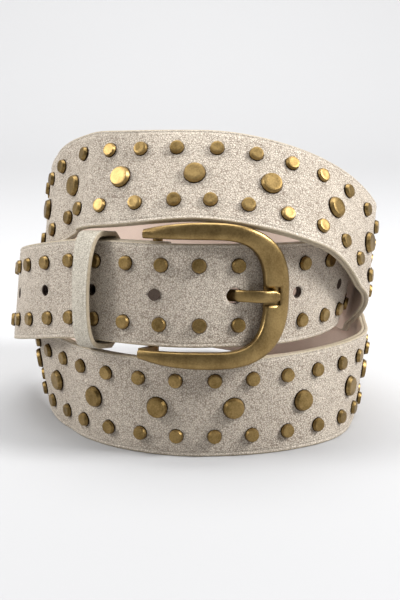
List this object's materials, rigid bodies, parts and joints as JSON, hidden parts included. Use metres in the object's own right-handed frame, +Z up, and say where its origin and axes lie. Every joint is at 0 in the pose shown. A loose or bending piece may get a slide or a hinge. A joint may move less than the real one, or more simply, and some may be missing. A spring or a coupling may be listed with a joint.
{
  "type": "studded leather belt",
  "caption": "Wide leather belt with rows of flat metal studs, a horseshoe buckle and a leather keeper, fastened and coiled on its edge in stacked loops.",
  "frame": {"origin": "middle of the footprint, on the surface that the lower loop stands on", "axes": "-Y is the front, where the buckle faces; +Z is up, across the strap's width; +X is towards the buckle's bow"},
  "size_m": [0.1645, 0.1799, 0.1273],
  "materials": {
    "face_leather": "crackled suede with a faint metallic sheen; the studs on it are antique brass",
    "lining_leather": "smooth matt",
    "keeper_leather": "crackled suede",
    "antique_brass": "antique, satin"
  },
  "bodies": {
    "root": {"strap_face": "face_leather", "strap_lining": "lining_leather", "buckle_frame": "antique_brass", "buckle_tongue": "antique_brass", "keeper_loop": "keeper_leather"}
  },
  "joints": []
}
